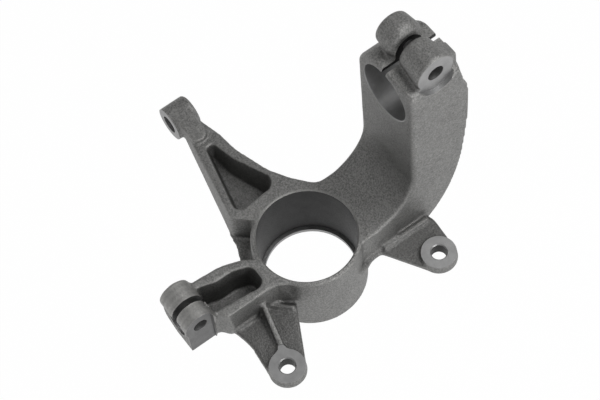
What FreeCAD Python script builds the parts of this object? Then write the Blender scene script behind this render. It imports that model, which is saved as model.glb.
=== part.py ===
import FreeCAD, Part
import math
import os

V = FreeCAD.Vector

# all sizes in millimetres
# origin on the hub bearing's axis at the outboard face, +Z inboard, +Y to the strut clamp

# reach of the arms from the hub bearing's axis and its outboard face
steering_reach = 165.6
ball_reach = 124.3
strut_height = 198.6
strut_reach = 82.5

# hub ring
bearing_r = 41.0
stop_lip_r = 38.5
stop_lip_h = 3.5
relief_r = 41.8
relief_h = 2.0
ring_h = 66.5
ring_foot_r = 47.4
ring_head_r = 45.4
bore_chamfer = 1.2
ring_edge = 1.4

# levels shared by the arms
deck_z = 66.5
parting_z = 40.0
underside_z = 32.5
upper_draft = 2.4
lower_draft = 3.0
floor_z = 38.5

# steering arm and its eye
eye_x = -steering_reach
fall_start_x = -62.0
fall_end_x = eye_x + 34.6
fall_depth = 10.0
steering_pocket_draft = 4.5
eye_z = 46.0
eye_r = 15.0
eye_near_y = -22.6
eye_far_y = 0.8
tie_rod_r = 8.0
eye_nose_x = eye_x + 37.0
eye_nose_z = 60.9
eye_edge = 0.7
eye_far_edge = 2.0

# ball joint arm and clamp
stud_x = -5.2
stud_z = 52.5
stud_r = 9.7
stud_end_y = -ball_reach
clamp_back_y = stud_end_y + 26.4
ball_slit_w = 5.0
ball_barrel_y = stud_end_y + 12.1
ball_barrel_z = 65.0
ball_barrel_r = 13.7
ball_barrel_left_x = -26.0
ball_bolt_r = 6.2
ball_thread_r = 5.1
ball_step_x = 3.7
ball_step = 0.8
milled_x = 11.5
ball_pocket_draft = 2.5

# strut arm and clamp
arm_half_w = 33.0
arm_front_y = strut_reach
arm_inner_r = 44.5
arm_edge_r = 3.0
clamp_edge_r = 6.0
strut_z = strut_height
strut_r = 25.0
clamp_top_z = strut_z + 28.4
clamp_back_top_y = arm_front_y + 45.8
collar_r = 31.8
collar_x = -1.5
collar_back_y = arm_front_y + 51.2
collar_flat_z = strut_z + 29.2
shoulder_r = 24.0
strut_slit_w = 4.8
strut_slit_x = -0.6
pinch_y = arm_front_y + 25.7
pinch_z = strut_z + 37.7
pinch_boss_r = 17.4
pinch_bolt_r = 7.0
pinch_thread_r = 5.1
boss_left_x = -25.5
boss_left_r = 14.6
boss_dome_r = 2.5
boss_rim = 1.6
boss_root_r = 13.8
boss_waist_r = 12.4
boss_left_round = 8.0
boss_right_round = 5.0
spot_face_x = 29.0
spot_face_r = 18.8

# caliper ears
ear_top_z = 45.0
ear_parting_z = 37.0
ear_bottom_z = 33.0
ear_boss_r = 15.6
ear_head_r = 14.6
ear_foot_r = 13.4
ear_hole_r = 6.4
ear_hole_chamfer = 0.8
rear_ear = (68.5, 80.3)
front_ear = (73.5, -74.9)
web_top_z = 40.5
web_bottom_z = 33.0
web_draft = 0.6
web_foot_draft = 2.4
bar_z = 43.5
bar_w = 4.0
flank_bar_w = 3.3
flank_bar_x = 38.9
rib_w = 4.2
rib_root_z = 54.0


def grown(points, by):
    """the same anticlockwise corners with every side moved outwards by a distance"""
    moved = []
    count = len(points)
    for i, (x, y, r) in enumerate(points):
        before = points[i - 1]
        after = points[(i + 1) % count]
        into = V(x - before[0], y - before[1], 0)
        out = V(after[0] - x, after[1] - y, 0)
        turns_left = into.x * out.y - into.y * out.x > 0
        n1 = V(into.y, -into.x, 0).normalize()
        n2 = V(out.y, -out.x, 0).normalize()
        shift = (n1 + n2) * (by / (1 + n1.dot(n2)))
        if r > 0:
            r = max(0.4, r + by if turns_left else r - by)
        moved.append((x + shift.x, y + shift.y, r))
    return moved


def rounded_wire(points, z):
    """closed outline of straight sides, with tangent arcs at the corners that have a radius"""
    count = len(points)
    corners = []
    for i, (x, y, r) in enumerate(points):
        here = V(x, y, z)
        back = V(points[i - 1][0] - x, points[i - 1][1] - y, 0).normalize()
        ahead = V(points[(i + 1) % count][0] - x, points[(i + 1) % count][1] - y, 0).normalize()
        half = back.getAngle(ahead) / 2
        reach = r / math.tan(half)
        middle = (back + ahead).normalize() * (r / math.sin(half) - r)
        corners.append((here + back * reach, here + middle, here + ahead * reach))
    edges = []
    for i, (start, middle, stop) in enumerate(corners):
        if points[i][2] > 0:
            edges.append(Part.Arc(start, middle, stop).toShape())
        edges.append(Part.makeLine(stop, corners[(i + 1) % count][0]))
    return Part.Wire(edges)


def drafted(low_points, low_z, high_points, high_z):
    return Part.makeLoft([rounded_wire(low_points, low_z), rounded_wire(high_points, high_z)], True, True)


def prism(points, low_z, high_z):
    return Part.Face(rounded_wire(points, low_z)).extrude(V(0, 0, high_z - low_z))


def along_x(edges, x_low, x_high):
    """solid from a closed profile drawn in the YZ plane"""
    face = Part.Face(Part.Wire(edges))
    face.translate(V(x_low, 0, 0))
    return face.extrude(V(x_high - x_low, 0, 0))


def rod(radius, start, stop):
    axis = stop - start
    return Part.makeCylinder(radius, axis.Length, start, axis)


def both_sides(widest, high_z, low_z):
    """solid with draft above and below the parting level, where its outline is widest"""
    upper = drafted(widest, parting_z, grown(widest, -upper_draft), high_z)
    lower = drafted(grown(widest, -lower_draft), low_z, widest, parting_z)
    return upper.fuse(lower)


def hub_ring():
    body = Part.makeCone(ring_foot_r, ring_head_r, ring_h)
    rims = [e for e in body.Edges if e.BoundBox.ZLength < 1e-6]
    return body.makeChamfer(ring_edge, rims)


def hub_bore():
    bore = rod(bearing_r, V(0, 0, stop_lip_h), V(0, 0, ring_h + 5))
    lip = rod(stop_lip_r, V(0, 0, -1), V(0, 0, stop_lip_h + 1))
    relief = rod(relief_r, V(0, 0, stop_lip_h), V(0, 0, stop_lip_h + relief_h))
    mouth = Part.makeCone(bearing_r, bearing_r + 3, 3, V(0, 0, ring_h - bore_chamfer))
    return bore.fuse([lip, relief, mouth])


def deck():
    """the broad middle that joins the ring to the steering, strut and ball joint arms"""
    top = [
        (20.0, -100.0, 0),
        (20.0, -46.5, 16),
        (35.5, -22.0, 0),
        (20.0, 0.0, 0),
        (33.0, 28.0, 0),
        (33.0, 62.0, 0),
        (-33.0, 62.0, 0),
        (-33.0, 35.5, 14),
        (-51.3, 21.0, 30),
        (-68.0, 11.8, 40),
        (eye_x + 61.6, 2.8, 60),
        (eye_x + 38.6, 1.4, 30),
        (eye_x + 21.6, -2.8, 8),
        (eye_x + 13.6, -4.0, 0),
        (eye_x + 13.6, -15.5, 0),
        (-51.0, -38.9, 4),
        (-32.0, -20.0, 0),
        (-10.0, -10.0, 0),
        (-3.0, -37.0, 0),
        (-14.6, -53.5, 24),
        (-20.8, -71.0, 30),
        (-23.0, -100.0, 0),
    ]
    return both_sides(grown(top, upper_draft), deck_z, underside_z)


def recess_floor():
    """the low web between the steering arm and the ball joint arm"""
    edge = [
        (-16.0, -62.0, 0),
        (-8.0, -40.0, 0),
        (-30.0, -10.0, 0),
        (-60.0, -30.0, 0),
        (-53.0, -41.8, 2),
        (-39.5, -44.0, 30),
        (-26.0, -50.0, 10),
    ]
    return drafted(grown(edge, -lower_draft), underside_z, edge, floor_z)


def steering_slope():
    """what lies above the steering arm where its top falls towards the eye"""
    y = 60.0
    points = [
        V(fall_start_x, -y, deck_z),
        V(fall_end_x, -y, deck_z - fall_depth),
        V(eye_x - 40, -y, deck_z - fall_depth),
        V(eye_x - 40, -y, deck_z + 20),
        V(fall_start_x, -y, deck_z + 20),
    ]
    return Part.Face(Part.makePolygon(points + points[:1])).extrude(V(0, 2 * y, 0))


def steering_pocket():
    rim = [
        (eye_x + 42.6, -15.8, 5),
        (-50.2, -32.6, 7),
        (-52.8, -10.5, 14),
        (-53.8, 12.0, 10),
        (eye_x + 68.0, -3.0, 40),
        (eye_x + 43.1, -6.2, 4),
    ]
    return drafted(grown(rim, -steering_pocket_draft), floor_z, grown(rim, 1.0), deck_z + 4)


def steering_eye():
    barrel = rod(eye_r, V(eye_x, eye_near_y, eye_z), V(eye_x, eye_far_y, eye_z))
    barrel = barrel.makeChamfer(eye_edge, [e for e in barrel.Edges if e.BoundBox.YMax < eye_near_y + 0.1])
    barrel = barrel.makeChamfer(eye_far_edge, [e for e in barrel.Edges if e.BoundBox.YMin > eye_far_y - 0.1])
    nose = [
        (eye_x, eye_near_y + 2.0, 0),
        (eye_x + 18.6, eye_near_y + 2.4, 10),
        (eye_nose_x, -19.6, 5.5),
        (eye_nose_x + 0.4, -7.6, 6.5),
        (eye_x + 27.6, -5.0, 8),
        (eye_x, -5.0, 0),
    ]
    return barrel.fuse(drafted(grown(nose, 0.8), eye_z + 2, nose, eye_nose_z))


def ball_pocket():
    rim = [
        (9.6, clamp_back_y, 3),
        (14.6, -50.6, 7.5),
        (-5.5, -50.6, 8),
        (-11.2, -66.0, 12),
        (-11.2, -81.0, 16),
        (-17.0, clamp_back_y, 3),
    ]
    return drafted(grown(rim, -ball_pocket_draft), floor_z, rim, deck_z + 0.1)


def ball_clamp():
    section = [
        (-25.0, 66.0, 0),
        (-25.6, 41.5, 10),
        (-9.5, underside_z, 10),
        (milled_x + 2, underside_z, 0),
        (milled_x + 2, 66.0, 0),
    ]
    block = prism(section, 0, clamp_back_y - stud_end_y)
    block.rotate(V(0, 0, 0), V(1, 0, 0), 90)
    block.translate(V(0, clamp_back_y, 0))
    low_barrel = rod(ball_barrel_r - ball_step, V(ball_barrel_left_x, ball_barrel_y, ball_barrel_z),
                     V(milled_x + 4, ball_barrel_y, ball_barrel_z))
    left_barrel = rod(ball_barrel_r, V(ball_barrel_left_x, ball_barrel_y, ball_barrel_z),
                      V(stud_x, ball_barrel_y, ball_barrel_z))
    right_barrel = rod(ball_barrel_r, V(ball_step_x, ball_barrel_y, ball_barrel_z),
                       V(milled_x + 4, ball_barrel_y, ball_barrel_z))
    return block.fuse([low_barrel, left_barrel, right_barrel])


def ball_clamp_cuts():
    bore = rod(stud_r, V(stud_x, stud_end_y - 5, stud_z), V(stud_x, clamp_back_y + 4, stud_z))
    slit = Part.makeBox(ball_slit_w, clamp_back_y + 4 - stud_end_y + 5, 60,
                        V(stud_x - ball_slit_w / 2, stud_end_y - 5, stud_z))
    bolt = rod(ball_bolt_r, V(stud_x, ball_barrel_y, ball_barrel_z), V(60, ball_barrel_y, ball_barrel_z))
    thread = rod(ball_thread_r, V(-60, ball_barrel_y, ball_barrel_z), V(stud_x, ball_barrel_y, ball_barrel_z))
    side = [
        (milled_x, -140.0, 0),
        (45.0, -140.0, 0),
        (45.0, -86.0, 0),
        (21.5, -90.0, 2),
        (milled_x, -97.5, 8),
    ]
    return [bore, slit, bolt, thread, prism(side, 10, 100)]


def arm_profile():
    """side view of the strut arm from the ring up to the top of its clamp"""
    centre = V(0, arm_front_y - arm_inner_r, deck_z + arm_inner_r)
    start = V(0, centre.y, deck_z)
    stop = V(0, arm_front_y, centre.z)
    turn = centre + V(0, 1, -1).normalize() * arm_inner_r
    top_front = V(0, arm_front_y, clamp_top_z)
    top_back = V(0, clamp_back_top_y, clamp_top_z)
    neck = V(0, arm_front_y + 50.1, strut_z + 7.9)
    ledge = V(0, arm_front_y + 52.9, strut_z + 2.2)
    foot = V(0, arm_front_y + 15.7, underside_z)
    low_front = V(0, 31.0, underside_z)
    top_front_root = V(0, 31.0, deck_z)
    back = Part.BSplineCurve()
    back.interpolate([
        ledge,
        V(0, arm_front_y + 54.8, strut_z - 18.6),
        V(0, arm_front_y + 52.7, deck_z + 68.5),
        V(0, arm_front_y + 45.9, deck_z + 21.5),
        V(0, arm_front_y + 31.5, deck_z - 14.5),
        foot,
    ])
    return [
        Part.makeLine(low_front, top_front_root),
        Part.makeLine(top_front_root, start),
        Part.Arc(start, turn, stop).toShape(),
        Part.makeLine(stop, top_front),
        Part.makeLine(top_front, top_back),
        Part.makeLine(top_back, neck),
        Part.makeLine(neck, ledge),
        back.toShape(),
        Part.makeLine(foot, low_front),
    ]


def strut_arm():
    body = along_x(arm_profile(), -arm_half_w, arm_half_w)
    shoulder = [e for e in body.Edges
                if e.BoundBox.XMax < -arm_half_w + 0.1 and e.BoundBox.ZMin > clamp_top_z - 0.1]
    body = body.makeFillet(shoulder_r, shoulder)
    corner = [e for e in body.Edges
              if e.BoundBox.XMin > arm_half_w - 0.1 and e.BoundBox.ZMin > clamp_top_z - 0.1]
    body = body.makeFillet(clamp_edge_r, corner)
    front = [e for e in body.Edges
             if e.BoundBox.YMax < arm_front_y + 0.1 and e.BoundBox.ZMin > deck_z - 0.1
             and e.BoundBox.ZLength > 1 and abs(e.BoundBox.Center.x) > arm_half_w / 2]
    return body.makeFillet(arm_edge_r, front)


def strut_collar():
    """round end of the clamp behind the bolt bosses, flat where the slit runs out"""
    ring = rod(collar_r, V(collar_x, pinch_y, strut_z), V(collar_x, collar_back_y, strut_z))
    flat = Part.makeBox(100, 60, 40, V(-50, arm_front_y, collar_flat_z))
    return ring.cut(flat)


def strut_bosses():
    """bolt bosses either side of the slit, rounded off towards it down to a waist"""
    left_root = V(strut_slit_x - strut_slit_w / 2 + 0.1, pinch_y, pinch_z)
    left = Part.makeCone(pinch_boss_r - 0.2, boss_left_r, left_root.x - boss_left_x, left_root, V(-1, 0, 0))
    left = left.makeFillet(boss_left_round, [e for e in left.Edges if e.BoundBox.XMin > left_root.x - 0.1])
    left = left.makeFillet(boss_dome_r, [e for e in left.Edges if e.BoundBox.XMax < boss_left_x + 0.1])
    right_root = V(strut_slit_x + strut_slit_w / 2 - 0.1, pinch_y, pinch_z)
    right = Part.makeCone(boss_root_r, pinch_boss_r, spot_face_x - right_root.x, right_root, V(1, 0, 0))
    right = right.makeFillet(boss_right_round, [e for e in right.Edges if e.BoundBox.XMax < right_root.x + 0.1])
    right = right.makeChamfer(boss_rim, [e for e in right.Edges if e.BoundBox.XMin > spot_face_x - 0.1])
    waist = rod(boss_waist_r, V(-12.0, pinch_y, pinch_z - 5.0), V(13.0, pinch_y, pinch_z - 5.0))
    return [left, right, waist, boss_back()]


def boss_back():
    """fairing from the right boss down to the back of the clamp"""
    corners = [
        V(0, pinch_y + 4, pinch_z + 4),
        V(0, pinch_y + 11.3, pinch_z + 11.2),
        V(0, pinch_y + 21.8, pinch_z + 2.2),
        V(0, pinch_y + 23.9, pinch_z - 29.3),
        V(0, pinch_y + 12, pinch_z - 29.3),
    ]
    return along_x(Part.makePolygon(corners + corners[:1]).Edges, 12.5, 26.2)


def strut_clamp_cuts():
    bore = rod(strut_r, V(0, arm_front_y - 20, strut_z), V(0, collar_back_y + 20, strut_z))
    slit = Part.makeBox(strut_slit_w, 80, 80, V(strut_slit_x - strut_slit_w / 2, arm_front_y - 10, strut_z))
    bolt = rod(pinch_bolt_r, V(strut_slit_x, pinch_y, pinch_z), V(60, pinch_y, pinch_z))
    thread = rod(pinch_thread_r, V(-60, pinch_y, pinch_z), V(strut_slit_x, pinch_y, pinch_z))
    face = rod(spot_face_r, V(spot_face_x, pinch_y, pinch_z), V(60, pinch_y, pinch_z))
    return [bore, slit, bolt, thread, face]


def ear_boss(place):
    base = V(place[0], place[1], ear_bottom_z)
    rim = V(place[0], place[1], ear_parting_z)
    foot = Part.makeCone(ear_foot_r, ear_boss_r, ear_parting_z - ear_bottom_z, base)
    return foot.fuse(Part.makeCone(ear_boss_r, ear_head_r, ear_top_z - ear_parting_z, rim))


def web(edge):
    """ear web, widest at the ears' parting level"""
    upper = drafted(edge, ear_parting_z, grown(edge, -web_draft), web_top_z)
    lower = drafted(grown(edge, -web_foot_draft), web_bottom_z, edge, ear_parting_z)
    return upper.fuse(lower)


def ear_hole(place):
    hole = rod(ear_hole_r, V(place[0], place[1], 0), V(place[0], place[1], 100))
    mouth = Part.makeCone(ear_hole_r, ear_hole_r + 3, 3, V(place[0], place[1], ear_top_z - ear_hole_chamfer))
    return hole.fuse(mouth)


def rear_web():
    """triangular web from the strut arm's flank to the rear ear, with a low bar along the flank"""
    x, y = rear_ear
    edge = [
        (26.0, 34.0, 0),
        (41.0, 12.0, 0),
        (43.8, 25.0, 8),
        (38.6, 36.0, 14),
        (38.6, 45.0, 3),
        (x + 8.2, y - 12.9, 0),
        (x, y, 0),
        (x, y + ear_boss_r - 0.5, 0),
        (41.0, 97.9, 10),
        (28.0, 94.6, 0),
    ]
    profile = [
        V(arm_half_w - 3, 48.5, web_bottom_z + 1),
        V(flank_bar_x, 48.5, web_bottom_z + 1),
        V(flank_bar_x, 48.5, bar_z),
        V(flank_bar_x - flank_bar_w, 48.5, bar_z),
        V(arm_half_w, 48.5, bar_z - 1.7),
        V(arm_half_w - 3, 48.5, bar_z - 1.7),
    ]
    bar = Part.Face(Part.makePolygon(profile + profile[:1])).extrude(V(0, 44.5, 0))
    return [web(edge), bar]


def front_web():
    """fan-shaped web from the ring and the ball joint arm to the front ear"""
    x, y = front_ear
    edge = [
        (14.0, -91.5, 0),
        (38.0, -86.3, 40),
        (x - 1.0, y - ear_boss_r + 0.4, 0),
        (x, y, 0),
        (x + 7.6, y + 13.1, 0),
        (26.2, -32.4, 0),
        (14.0, -48.0, 0),
    ]
    arm_bar = Part.makeBox(bar_w + 2.7, 19.0, bar_z - web_bottom_z - 1, V(17.0, -86.3, web_bottom_z + 1))
    ring_bar = Part.makeBox(22.5, bar_w, bar_z - web_bottom_z, V(0, 0, 0))
    ring_bar.rotate(V(0, 0, 0), V(0, 0, 1), 45)
    ring_bar.translate(V(20.5, -56.7, web_bottom_z))
    return [web(edge), arm_bar, ring_bar]


def front_rib():
    """upright gusset that falls from the arm's wall to the front ear's boss, and the boss's flare to it"""
    x, y = front_ear
    root = V(18.0, -59.0, 0)
    tip = V(x, y + 2.2, 0)
    side = V(tip.y - root.y, root.x - tip.x, 0).normalize() * (rib_w / 2)
    reach = (tip - root).normalize() * ((tip - root).Length - ear_hole_r - 6.0)
    low = V(0, 0, web_bottom_z)
    wall = [
        root + side + low,
        root + side + V(0, 0, rib_root_z),
        root + side + reach + V(0, 0, ear_top_z),
        root + side + reach + low,
    ]
    rib = Part.Face(Part.makePolygon(wall + wall[:1])).extrude(side * -2)
    across = side.normalize() * (ear_head_r - 0.8)
    point = tip - (tip - root).normalize() * (ear_head_r + 7.9)
    flare = [(x - across.x, y - across.y, 0), (x + across.x, y + across.y, 0), (point.x, point.y, 2)]
    return rib.fuse(prism(flare, web_bottom_z + 1, ear_top_z))


def knuckle():
    middle = deck().cut([steering_slope(), steering_pocket(), ball_pocket()])
    solids = [middle, recess_floor(), steering_eye(), ball_clamp(), strut_arm(), strut_collar()]
    solids += strut_bosses() + rear_web() + front_web()
    solids += [front_rib(), ear_boss(rear_ear), ear_boss(front_ear)]
    body = hub_ring().fuse(solids).removeSplitter()
    cuts = [hub_bore(), rod(tie_rod_r, V(eye_x, eye_near_y - 5, eye_z), V(eye_x, eye_far_y + 5, eye_z))]
    cuts += ball_clamp_cuts() + strut_clamp_cuts() + [ear_hole(rear_ear), ear_hole(front_ear)]
    return body.cut(cuts).removeSplitter()


os.makedirs("parts", exist_ok=True)
steering_knuckle = knuckle()
steering_knuckle.exportStep("parts/steering_knuckle.step")
print("steering_knuckle", steering_knuckle.isValid(), len(steering_knuckle.Solids),
      len(steering_knuckle.Faces), round(steering_knuckle.Volume / 1000, 1), "cm3")
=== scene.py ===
import bpy
import bmesh
import math
from mathutils import Matrix, Vector, noise


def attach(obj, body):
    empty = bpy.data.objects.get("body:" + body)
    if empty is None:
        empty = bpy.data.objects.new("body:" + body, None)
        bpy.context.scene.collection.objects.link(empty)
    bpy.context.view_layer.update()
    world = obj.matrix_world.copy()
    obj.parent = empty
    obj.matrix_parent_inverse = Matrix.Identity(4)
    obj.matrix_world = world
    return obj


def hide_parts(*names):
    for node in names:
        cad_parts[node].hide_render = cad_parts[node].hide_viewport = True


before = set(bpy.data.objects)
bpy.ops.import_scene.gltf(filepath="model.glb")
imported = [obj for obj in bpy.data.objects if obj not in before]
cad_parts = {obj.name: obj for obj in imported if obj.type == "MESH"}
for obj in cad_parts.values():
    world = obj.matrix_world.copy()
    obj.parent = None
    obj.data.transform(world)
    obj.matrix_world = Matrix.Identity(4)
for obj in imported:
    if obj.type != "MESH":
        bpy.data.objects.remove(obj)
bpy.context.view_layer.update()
mm = 0.001


def pt(x, y, z):  # a place in the part's frame, given in millimetres
    return Vector((x * mm, y * mm, z * mm))


# shader building

class Wire:  # a node's socket that can be used in sums
    def __init__(self, board, socket):
        self.board = board
        self.socket = socket

    def maths(self, operation, first, second):
        return self.board.node("ShaderNodeMath", {"operation": operation}, {0: first, 1: second})

    def __add__(self, other):
        return self.maths("ADD", self, other)

    def __radd__(self, other):
        return self.maths("ADD", other, self)

    def __sub__(self, other):
        return self.maths("SUBTRACT", self, other)

    def __rsub__(self, other):
        return self.maths("SUBTRACT", other, self)

    def __mul__(self, other):
        return self.maths("MULTIPLY", self, other)

    def __rmul__(self, other):
        return self.maths("MULTIPLY", other, self)

    def __truediv__(self, other):
        return self.maths("DIVIDE", self, other)

    def __rtruediv__(self, other):
        return self.maths("DIVIDE", other, self)


class Board:  # one material's node tree
    def __init__(self, name):
        self.material = bpy.data.materials.new(name)
        self.material.use_nodes = True
        self.tree = self.material.node_tree
        self.tree.nodes.clear()

    def node(self, kind, settings=None, sockets=None, out=0):
        made = self.tree.nodes.new(kind)
        for key, value in (settings or {}).items():
            if key == "stops":
                self.setStops(made.color_ramp, value)
            else:
                setattr(made, key, value)
        for key, value in (sockets or {}).items():
            if isinstance(value, Wire):
                self.tree.links.new(value.socket, made.inputs[key])
            else:
                made.inputs[key].default_value = value
        if not made.outputs:
            return None
        return Wire(self, made.outputs[out])

    def setStops(self, ramp, stops):
        while len(ramp.elements) < len(stops):
            ramp.elements.new(0.5)
        for element, (place, shade) in zip(ramp.elements, stops):
            element.position = place
            element.color = (shade, shade, shade, 1)

    def mix(self, factor, first, second):  # two colours
        return self.node("ShaderNodeMix", {"data_type": "RGBA"}, {0: factor, 6: first, 7: second}, 2)

    def place(self):
        return self.node("ShaderNodeTexCoord", {}, {}, "Object")

    def clump(self, size, detail=3.0, rough=0.55):  # soft noise, size in millimetres from lump to lump
        return self.node("ShaderNodeTexNoise", {}, {
            "Vector": self.place(), "Scale": 1 / (size * mm), "Detail": detail, "Roughness": rough})

    def part(self, vector, axis=2):  # one number of a vector: a normal's tells how far a face looks up
        return self.node("ShaderNodeSeparateXYZ", {}, {0: vector}, axis)

    def ramp(self, value, *stops):
        return self.node("ShaderNodeValToRGB", {"stops": stops}, {0: value})

    def bump(self, height, depth, under=None):
        sockets = {"Height": height, "Distance": depth * mm, "Strength": 1.0}
        if under is not None:
            sockets["Normal"] = under
        return self.node("ShaderNodeBump", {}, sockets)

    def close(self, shader):
        self.node("ShaderNodeOutputMaterial", {}, {"Surface": shader})
        return self.material


# camera

cameraSpec = {
    "spot": (613.25, -355.90, 1408.48),
    "right": (0.59322, 0.80264, -0.06214),
    "down": (0.68745, -0.54522, -0.47973),
    "ahead": (-0.41893, 0.24187, -0.87521),
    "lens": 114.0,
}


def makeCamera():
    data = bpy.data.cameras.new("camera")
    data.lens = cameraSpec["lens"]
    data.sensor_width = 36.0
    data.clip_end = 20.0
    camera = bpy.data.objects.new("camera", data)
    bpy.context.scene.collection.objects.link(camera)
    right = Vector(cameraSpec["right"]).normalized()
    ahead = Vector(cameraSpec["ahead"]).normalized()
    up = right.cross(ahead).normalized()
    turn = Matrix((right, up, -ahead)).transposed()
    camera.matrix_world = Matrix.Translation(pt(*cameraSpec["spot"])) @ turn.to_4x4()
    bpy.context.scene.camera = camera
    print("camera placed")


# light and floor

lightSpec = {
    "floorDrop": 260.0,
    "floorColour": (0.86, 0.86, 0.86, 1),
    "skyStrength": 0.32,
    "mirrored": 0.78,  # how much of the white floor the metal shows
    "white": 0.99,
    "floorHalf": 6000.0,
    "key": {"from": (1000, 150, 450), "size": 420, "power": 3.4},
    "fill": {"from": (-500, -700, 700), "size": 900, "power": 0.2},
    "top": {"from": (200, 500, 1200), "size": 500, "power": 4.2},
}


def makeLamp(name, spec, target):
    data = bpy.data.lights.new(name, "AREA")
    data.shape = "DISK"
    data.size = spec["size"] * mm
    data.energy = spec["power"]
    lamp = bpy.data.objects.new(name, data)
    bpy.context.scene.collection.objects.link(lamp)
    lamp.location = pt(*spec["from"])
    lamp.rotation_euler = (target - lamp.location).to_track_quat("-Z", "Y").to_euler()


def makeStage():
    bpy.context.scene.view_settings.view_transform = "Standard"
    target = pt(0, 20, 80)
    for name in ("key", "fill", "top"):
        makeLamp(name, lightSpec[name], target)
    world = bpy.data.worlds.new("sky")
    world.use_nodes = True
    bpy.context.scene.world = world
    tree = world.node_tree
    tree.nodes.clear()
    path = tree.nodes.new("ShaderNodeLightPath")
    sky = tree.nodes.new("ShaderNodeBackground")
    sky.inputs["Color"].default_value = (1, 1, 1, 1)
    sky.inputs["Strength"].default_value = lightSpec["skyStrength"]
    seen = tree.nodes.new("ShaderNodeBackground")
    seen.inputs["Color"].default_value = (1, 1, 1, 1)
    mixer = tree.nodes.new("ShaderNodeMixShader")
    last = tree.nodes.new("ShaderNodeOutputWorld")
    tree.links.new(path.outputs["Is Camera Ray"], mixer.inputs[0])
    tree.links.new(sky.outputs[0], mixer.inputs[1])
    tree.links.new(seen.outputs[0], mixer.inputs[2])
    tree.links.new(mixer.outputs[0], last.inputs[0])

    board = Board("pale floor")
    seen = board.node("ShaderNodeLightPath", {}, {}, "Is Camera Ray")
    mirrored = board.node("ShaderNodeLightPath", {}, {}, "Is Glossy Ray")
    matt = board.node("ShaderNodeBsdfDiffuse", {}, {"Color": lightSpec["floorColour"]})
    glow = board.node("ShaderNodeEmission", {}, {"Color": (1, 1, 1, 1), "Strength": 1.0})
    bright = (seen + mirrored * lightSpec["mirrored"]) * lightSpec["white"]
    paint = board.close(board.node("ShaderNodeMixShader", {}, {0: bright, 1: matt, 2: glow}))
    mesh = bpy.data.meshes.new("floor")
    half = lightSpec["floorHalf"]
    corners = [(-half, -half), (half, -half), (half, half), (-half, half)]
    mesh.from_pydata([pt(x, y, -lightSpec["floorDrop"]) for x, y in corners], [], [(0, 1, 2, 3)])
    mesh.materials.append(paint)
    floor = bpy.data.objects.new("floor", mesh)
    bpy.context.scene.collection.objects.link(floor)
    print("floor and lamps placed")


# simple solids for filling and cutting the casting

def solid(name, bm, paint=0):
    bmesh.ops.recalc_face_normals(bm, faces=bm.faces)
    for face in bm.faces:
        face.material_index = paint
    mesh = bpy.data.meshes.new(name)
    bm.to_mesh(mesh)
    bm.free()
    return mesh


def turned(name, base, axis, profile, paint=0, steps=96):
    base = pt(*base)
    axis = Vector(axis).normalized()
    side = axis.orthogonal().normalized()
    other = axis.cross(side)
    bm = bmesh.new()
    rings = []
    for radius, along in profile:
        centre = base + axis * along * mm
        if radius == 0:
            rings.append([bm.verts.new(centre)])
            continue
        ring = []
        for step in range(steps):
            angle = 2 * math.pi * step / steps
            out = side * math.cos(angle) + other * math.sin(angle)
            ring.append(bm.verts.new(centre + out * radius * mm))
        rings.append(ring)
    for low, high in zip(rings, rings[1:]):
        for step in range(steps):
            after = (step + 1) % steps
            if len(low) == 1:
                bm.faces.new((low[0], high[step], high[after]))
            elif len(high) == 1:
                bm.faces.new((low[step], low[after], high[0]))
            else:
                bm.faces.new((low[step], low[after], high[after], high[step]))
    return solid(name, bm, paint)


def drum(name, radius, start, stop, paint=0, steps=96):
    run = Vector(stop) - Vector(start)
    profile = [(0, 0), (radius, 0), (radius, run.length), (0, run.length)]
    return turned(name, start, run, profile, paint, steps)


def slab(name, along, outline, low, high, paint=0):  # an outline drawn out along an axis
    bm = bmesh.new()
    ends = []
    for reach in (low, high):
        ring = []
        for first, second in outline:
            place = pt(reach, first, second) if along == "x" else pt(first, second, reach)
            ring.append(bm.verts.new(place))
        ends.append(ring)
    count = len(outline)
    bm.faces.new(ends[0])
    bm.faces.new(ends[1])
    for step in range(count):
        after = (step + 1) % count
        bm.faces.new((ends[0][step], ends[0][after], ends[1][after], ends[1][step]))
    return solid(name, bm, paint)


def arc(centre, radius, start, stop, steps=40):  # points on a circle, angles in degrees
    angles = [math.radians(start + (stop - start) * step / steps) for step in range(steps + 1)]
    return [(centre[0] + radius * math.cos(angle), centre[1] + radius * math.sin(angle)) for angle in angles]


def block(name, low, high, paint=0):
    bm = bmesh.new()
    bmesh.ops.create_cube(bm, size=1.0)
    for vert in bm.verts:
        middle = [(a + b) / 2 * mm for a, b in zip(low, high)]
        vert.co = Vector([m + c * (b - a) * mm for m, c, a, b in zip(middle, vert.co, low, high)])
    return solid(name, bm, paint)


# casting

castingSpec = {
    "voxel": 1.1,
    "smoothing": 5,
    "triangles": 150000,
    "unevenness": ((11.0, 0.08), (3.6, 0.035)),  # lump size and height in millimetres
    "sharpAngle": 38,
}

# machined places, in millimetres
hub = {"seat": 41.0, "lip": 38.5, "lipHeight": 3.5, "relief": 41.8, "reliefTop": 5.5, "top": 66.5,
       "chamfer": 1.2}
strut = {"bore": 25.0, "z": 198.6, "front": 82.5, "clampTop": 227.0, "clampBack": 128.3, "collarBack": 133.7,
         "collarTop": 227.8, "slitX": -0.6, "slit": 4.8, "pinchY": 108.2, "pinchZ": 236.3,
         "bolt": 7.0, "thread": 5.1, "spotX": 29.0, "spot": 18.8, "flank": 33.0, "waist": 12.4, "face": 15.8}
ball = {"x": -5.2, "z": 52.5, "bore": 9.7, "end": -124.3, "back": -97.9, "slit": 5.0, "barrelY": -112.2,
        "barrelZ": 65.0, "barrel": 13.7, "bolt": 6.2, "thread": 5.1, "milledX": 11.5, "left": -26.0,
        "stepX": 3.7}
eye = {"x": -165.6, "z": 46.0, "bore": 8.0, "barrel": 14.8, "near": -22.6, "far": 0.8}
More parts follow.
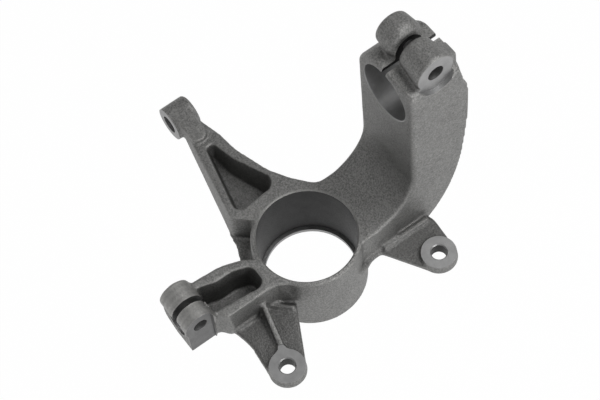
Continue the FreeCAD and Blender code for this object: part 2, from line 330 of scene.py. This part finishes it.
ears = {"rear": (68.5, 80.3), "front": (73.5, -74.9), "top": 45.0, "bottom": 33.0, "boss": 14.5, "hole": 6.4,
        "chamfer": 0.8}


def fillings():
    # filled before the skin is smoothed, so that every machined edge can be cut crisp again
    made = [
        drum("hub fill", hub["seat"] + 2.0, (0, 0, 0), (0, 0, hub["top"])),
        drum("strut fill", strut["bore"] + 0.3, (0, strut["front"], strut["z"]), (0, 131.0, strut["z"])),
        block("slit fill", (-6, strut["front"] + 1, strut["z"] + 20),
              (5, strut["clampBack"], strut["clampTop"])),
        block("collar fill", (-6, 115, strut["z"] + 20), (5, strut["collarBack"], strut["collarTop"])),
        drum("boss fill", strut["waist"], (-18.0, strut["pinchY"], strut["pinchZ"] - 5.0),
             (20.0, strut["pinchY"], strut["pinchZ"] - 5.0)),
        drum("face fill", strut["face"], (strut["spotX"] - 2, strut["pinchY"], strut["pinchZ"]),
             (strut["spotX"] + 2, strut["pinchY"], strut["pinchZ"])),
        slab("spot fill", "x", arc((strut["pinchY"], strut["pinchZ"]), strut["spot"] - 0.1, -132, -48),
             strut["spotX"] - 2, strut["flank"]),
        drum("stud fill", ball["bore"] + 0.3, (ball["x"], ball["end"], ball["z"]),
             (ball["x"], ball["back"], ball["z"])),
        drum("barrel fill", ball["barrel"], (ball["left"] + 2, ball["barrelY"], ball["barrelZ"]),
             (ball["milledX"] + 3, ball["barrelY"], ball["barrelZ"])),
        block("milled fill", (8.0, ball["end"], 32.5), (13.5, -101.0, 66.0)),
        block("stud slit fill", (ball["x"] - 4, ball["end"], ball["z"]),
              (ball["x"] + 4, ball["back"], 66.0)),
        drum("eye fill", eye["bore"] + 1.0, (eye["x"], eye["near"], eye["z"]),
             (eye["x"], eye["far"], eye["z"])),
        drum("eye face fill", eye["barrel"], (eye["x"], eye["near"] - 2, eye["z"]),
             (eye["x"], -18, eye["z"])),
    ]
    for side in ("rear", "front"):
        x, y = ears[side]
        top = ears["top"]
        made.append(drum(side + " ear fill", ears["hole"] + 1.5, (x, y, ears["bottom"]), (x, y, top)))
        made.append(drum(side + " ear top fill", ears["boss"], (x, y, top - 2), (x, y, top + 2.5)))
    return made


def cuts():
    middle = (ball["barrelY"], ball["barrelZ"])
    rim = hub["top"] - hub["chamfer"]
    step = arc(middle, ball["barrel"] - 0.8, 5, 199) + arc(middle, ball["barrel"] + 3, 199, 5)
    side = [(ball["milledX"], -140), (ball["milledX"], -102), (14.5, -101), (30, -101), (30, -140)]
    made = [
        block("foot", (-200, -150, -5), (110, 150, 0)),  # the ring's foot is flat at the origin's height
        slab("barrel step", "x", step, ball["x"], ball["stepX"]),
        slab("milled side", "z", side, 10, 100, 3),
        drum("eye face", 20, (eye["x"], eye["near"] - 8, eye["z"]),
             (eye["x"], eye["near"], eye["z"]), 1, 48),
        turned("hub rim", (0, 0, 0), (0, 0, 1), [
            (0, hub["top"] - 4), (hub["seat"] - 0.5, hub["top"] - 4), (hub["seat"] - 0.5, rim - 0.5),
            (hub["seat"] + 2.0, rim + 2.0), (0, rim + 2.0)], 0, 160),
        turned("hub lip", (0, 0, 0), (0, 0, 1), [
            (0, -2), (hub["lip"], -2), (hub["lip"], hub["lipHeight"]), (hub["relief"], hub["lipHeight"]),
            (hub["relief"], hub["reliefTop"]), (0, hub["reliefTop"])], 1, 160),
        # paint 2 is painted shade: the hub bore's wall is kept nearly black
        drum("hub bore", hub["seat"], (0, 0, hub["reliefTop"] - 0.5), (0, 0, hub["top"] + 2), 2, 160),
        turned("strut bore", (0, strut["front"], strut["z"]), (0, 1, 0), [
            (0, -3), (strut["bore"] + 3.5, -3), (strut["bore"], 0.5), (strut["bore"], 60), (0, 60)], 1, 128),
        # paint 2 is painted shade: the strut slit is kept nearly black
        block("strut slit", (strut["slitX"] - strut["slit"] / 2, strut["front"] - 5, strut["z"]),
              (strut["slitX"] + strut["slit"] / 2, 150, 260), 2),
        drum("pinch bolt hole", strut["bolt"], (strut["slitX"], strut["pinchY"], strut["pinchZ"]),
             (40, strut["pinchY"], strut["pinchZ"]), 1, 64),
        drum("pinch thread hole", strut["thread"], (-30, strut["pinchY"], strut["pinchZ"]),
             (strut["slitX"], strut["pinchY"], strut["pinchZ"]), 1, 48),
        drum("spot face", strut["spot"], (strut["spotX"], strut["pinchY"], strut["pinchZ"]),
             (45, strut["pinchY"], strut["pinchZ"]), 1, 96),
        drum("stud bore", ball["bore"], (ball["x"], -135, ball["z"]),
             (ball["x"], ball["back"] + 4, ball["z"]), 1, 72),
        block("stud slit", (ball["x"] - ball["slit"] / 2, -135, ball["z"]),
              (ball["x"] + ball["slit"] / 2, ball["back"] + 4, 100), 3),
        drum("stud bolt hole", ball["bolt"], (ball["x"], ball["barrelY"], ball["barrelZ"]),
             (30, ball["barrelY"], ball["barrelZ"]), 1, 64),
        drum("stud thread hole", ball["thread"], (-40, ball["barrelY"], ball["barrelZ"]),
             (ball["x"], ball["barrelY"], ball["barrelZ"]), 1, 48),
        drum("tie rod hole", eye["bore"], (eye["x"], eye["near"] - 5, eye["z"]),
             (eye["x"], eye["far"] + 5, eye["z"]), 1, 64),
    ]
    for side in ("rear", "front"):
        x, y = ears[side]
        top, hole, chamfer = ears["top"], ears["hole"], ears["chamfer"]
        # paint 2 is painted shade: the ear holes are kept nearly black
        made.append(drum(side + " ear hole", hole, (x, y, top - 20), (x, y, top + 3), 2, 64))
        made.append(turned(side + " ear chamfer", (x, y, top), (0, 0, 1), [
            (0, -hole - chamfer), (hole + 3, 3 - chamfer), (0, 3 - chamfer)], 1, 64))
        made.append(drum(side + " ear face", ears["boss"] + 4.5, (x, y, top), (x, y, top + 8), 1, 64))
    return made


def asObject(name, mesh):
    made = bpy.data.objects.new(name, mesh)
    bpy.context.scene.collection.objects.link(made)
    return made


def settled(thing):  # the mesh with its modifiers applied
    graph = bpy.context.evaluated_depsgraph_get()
    mesh = bpy.data.meshes.new_from_object(thing.evaluated_get(graph))
    thing.modifiers.clear()
    thing.data = mesh
    return thing


def drop(thing):
    mesh = thing.data
    bpy.data.objects.remove(thing)
    bpy.data.meshes.remove(mesh)


def makeCasting(paints):
    bm = bmesh.new()
    bm.from_mesh(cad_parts["steering_knuckle"].data)
    bmesh.ops.remove_doubles(bm, verts=bm.verts, dist=0.002 * mm)
    for mesh in fillings():
        bm.from_mesh(mesh)
        bpy.data.meshes.remove(mesh)
    mesh = bpy.data.meshes.new("casting")
    bm.to_mesh(mesh)
    bm.free()
    casting = asObject("casting", mesh)
    skin = casting.modifiers.new("skin", "REMESH")
    skin.mode = "VOXEL"
    skin.voxel_size = castingSpec["voxel"] * mm
    soft = casting.modifiers.new("soft edges", "SMOOTH")
    soft.factor = 0.5
    soft.iterations = castingSpec["smoothing"]
    settled(casting)
    print("casting skinned", len(casting.data.polygons), "faces")
    places = [vert.co.copy() for vert in casting.data.vertices]
    normals = [vert.normal.copy() for vert in casting.data.vertices]
    moved = []
    for place, normal in zip(places, normals):
        lift = 0.0
        for size, height in castingSpec["unevenness"]:
            lift += noise.noise(place / (size * mm)) * height * mm
        moved.extend(place + normal * lift)
    casting.data.vertices.foreach_set("co", moved)
    casting.data.materials.clear()
    for paint in paints:
        casting.data.materials.append(paint)
    for mesh in cuts():
        for paint in paints:
            mesh.materials.append(paint)
        cutter = asObject(mesh.name, mesh)
        cut = casting.modifiers.new("cut", "BOOLEAN")
        cut.object = cutter
        cut.operation = "DIFFERENCE"
        cut.solver = "MANIFOLD"
        settled(casting)
        print("cut", mesh.name, len(casting.data.polygons))
        drop(cutter)
    thin = casting.modifiers.new("thin", "DECIMATE")
    casting.data.calc_loop_triangles()
    thin.ratio = min(1.0, castingSpec["triangles"] / len(casting.data.loop_triangles))
    settled(casting)
    casting.data.shade_smooth()
    casting.data.set_sharp_from_angle(angle=math.radians(castingSpec["sharpAngle"]))
    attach(casting, "root")
    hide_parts("steering_knuckle")
    print("casting finished", len(casting.data.polygons), "faces")
    return casting


# finishes

def rubbed(board):  # the ball clamp's round back, scraped lighter in fine rings
    back = board.part(board.place(), 1) - ball["barrelY"] * mm
    rise = board.part(board.place()) - ball["barrelZ"] * mm
    away = (back * back + rise * rise) * (1 / mm / mm)
    near = board.ramp(away / 400, (0.5, 1), (0.56, 0))  # fades out past 15 mm from the bolt's line
    ring = board.node("ShaderNodeTexWave", {"bands_direction": "X"}, {
        "Vector": board.place(), "Scale": 62.0, "Distortion": 1.8, "Detail": 2.0}, 1)
    return near * (0.45 + ring * 0.28)


castSpec = {
    "dark": (0.18, 0.18, 0.177, 1),
    "light": (0.24, 0.24, 0.236, 1),
    "grit": (0.42, 0.416, 0.405, 1),
    # painted highlight: the light colour for sharp edges
    "edge": (0.5, 0.495, 0.48, 1),
    "scraped": (0.52, 0.515, 0.5, 1),
    # painted shade: the dark colour laid into the hollows and onto the webs' tops
    "paintedShade": (0.07, 0.07, 0.068, 1),
    "hollowReach": 45,
}


def castIron():
    board = Board("cast iron")
    grain = board.clump(1.4, 3.0, 0.75)
    sand = board.clump(0.8, 2.0, 0.6)
    # painted shade: ambient occlusion finds the hollows and concave places that get darkened
    hollowShade = board.node("ShaderNodeAmbientOcclusion", {"samples": 8, "only_local": True}, {
        "Distance": castSpec["hollowReach"] * mm}, "AO")
    edge = board.node("ShaderNodeNewGeometry", {}, {}, "Pointiness")
    blotch = board.clump(22, 4.0, 0.6)
    speck = board.clump(1.6, 2.0, 0.5)
    tone = board.mix(board.ramp(blotch, (0.3, 0), (0.7, 1)), castSpec["dark"], castSpec["light"])
    normal = board.node("ShaderNodeNewGeometry", {}, {}, "Normal")
    top = board.ramp(board.part(normal), (0.3, 0), (0.85, 1))  # upward faces get more of the light grit
    grit = board.ramp(grain, (0.38, 0), (0.62, 1)) * (0.66 + top * 0.24)
    tone = board.mix(grit, tone, castSpec["grit"])
    # painted highlight: pointy, sharp edges are lightened
    tone = board.mix(board.ramp(edge, (0.515, 0), (0.56, 1)) * 0.5, tone, castSpec["edge"])
    tone = board.mix(rubbed(board), tone, castSpec["scraped"])
    # painted shade: hollows and concave places darken towards the painted shade colour
    tone = board.mix(board.ramp(hollowShade, (0.3, 0.42), (0.8, 0)), tone, castSpec["paintedShade"])
    low = board.ramp(board.part(board.place()) * 10, (0.4, 1), (0.5, 0))  # below 40 mm
    right = board.ramp(board.part(board.place(), 0) * 10 + 0.5, (0.55, 0), (0.65, 1))  # the ears' side
    tone = board.mix(top * low * right * 0.45, tone, castSpec["paintedShade"])  # painted shade on the webs' upward tops, below 40 mm on the ears' side
    rough = 0.44 + board.ramp(speck, (0.3, 0), (0.7, 1)) * 0.2
    waves = board.bump(board.clump(7, 3.0, 0.6), 0.6)
    relief = board.bump(grain * 0.6 + sand * 0.4, 0.6, waves)
    return board.close(board.node("ShaderNodeBsdfPrincipled", {}, {
        "Base Color": tone, "Roughness": rough, "Metallic": 0.9, "Normal": relief}))


def machinedIron(name, dark, light):
    board = Board(name)
    blotch = board.clump(9, 4.0, 0.6)
    grain = board.clump(0.7, 2.0, 0.5)
    ends = [(shade, shade, shade, 1) for shade in (dark, light)]
    tone = board.mix(board.ramp(blotch, (0.3, 0), (0.7, 1)), *ends)
    rough = 0.42 + board.ramp(grain, (0.3, 0), (0.7, 1)) * 0.16
    return board.close(board.node("ShaderNodeBsdfPrincipled", {}, {
        "Base Color": tone, "Roughness": rough, "Metallic": 0.95, "Normal": board.bump(grain, 0.03)}))


makeCamera()
makeStage()
# the bored iron is painted shade: nearly black, for the hub bore, the strut slit and the ear holes
ironShades = {"machined iron": (0.36, 0.44), "bored iron in painted shade": (0.034, 0.046), "milled iron": (0.17, 0.23)}
paints = [castIron()] + [machinedIron(name, *shades) for name, shades in ironShades.items()]
print("finishes made")
makeCasting(paints)
